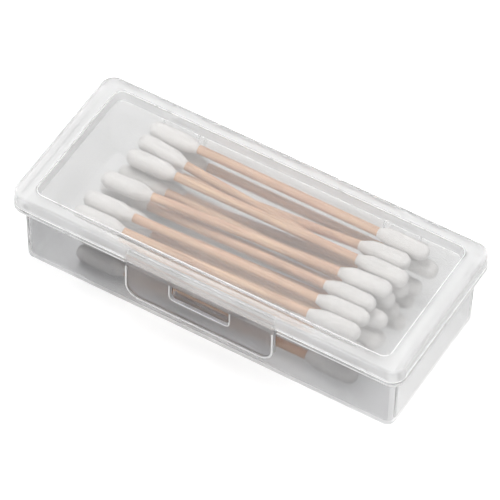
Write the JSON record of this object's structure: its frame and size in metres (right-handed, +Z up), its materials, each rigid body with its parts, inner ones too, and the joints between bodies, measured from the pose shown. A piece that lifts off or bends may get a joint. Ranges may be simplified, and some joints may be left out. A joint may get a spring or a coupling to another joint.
{
  "type": "cotton swab holder",
  "caption": "Translucent flip-top box with a sunken lid panel, pin hinge and snap flap, filled with wooden-stick cotton swabs lying lengthwise in layers.",
  "frame": {"origin": "middle of the tray's underside, on the surface it stands on", "axes": "+X along the box's long side, -Y towards the latch flap, +Y towards the hinge, +Z up through the lid"},
  "size_m": [0.104, 0.0478, 0.0235],
  "materials": {
    "translucent_plastic": "translucent natural polypropylene, smooth",
    "stick_wood": "bare birch, fine straight grain",
    "cotton": "spun cotton wool"
  },
  "bodies": {
    "tray": {"base": "translucent_plastic", "swab_01_stick": "stick_wood", "swab_01_buds": "cotton", "swab_02_stick": "stick_wood", "swab_02_buds": "cotton", "swab_03_stick": "stick_wood", "swab_03_buds": "cotton", "swab_04_stick": "stick_wood", "swab_04_buds": "cotton", "swab_05_stick": "stick_wood", "swab_05_buds": "cotton", "swab_06_stick": "stick_wood", "swab_06_buds": "cotton", "swab_07_stick": "stick_wood", "swab_07_buds": "cotton", "swab_08_stick": "stick_wood", "swab_08_buds": "cotton", "swab_09_stick": "stick_wood", "swab_09_buds": "cotton", "swab_10_stick": "stick_wood", "swab_10_buds": "cotton", "swab_11_stick": "stick_wood", "swab_11_buds": "cotton", "swab_12_stick": "stick_wood", "swab_12_buds": "cotton", "swab_13_stick": "stick_wood", "swab_13_buds": "cotton", "swab_14_stick": "stick_wood", "swab_14_buds": "cotton", "swab_15_stick": "stick_wood", "swab_15_buds": "cotton", "swab_16_stick": "stick_wood", "swab_16_buds": "cotton", "swab_17_stick": "stick_wood", "swab_17_buds": "cotton", "swab_18_stick": "stick_wood", "swab_18_buds": "cotton", "swab_19_stick": "stick_wood", "swab_19_buds": "cotton", "swab_20_stick": "stick_wood", "swab_20_buds": "cotton"},
    "lid": {"lid": "translucent_plastic"},
    "flap": {"latch_flap": "translucent_plastic"}
  },
  "joints": [
    {"name": "lid_hinge", "type": "hinge", "parent": "tray", "child": "lid", "pos_m": [0, 0.0235, 0.0183], "axis": [-1, 0, 0], "range_deg": [0, 180]},
    {"name": "latch_hinge", "type": "hinge", "parent": "lid", "child": "flap", "pos_m": [0, -0.02185, 0.01895], "axis": [-1, 0, 0], "range_deg": [0, 75], "stiffness_Nm_per_rad": 0.0005}
  ]
}
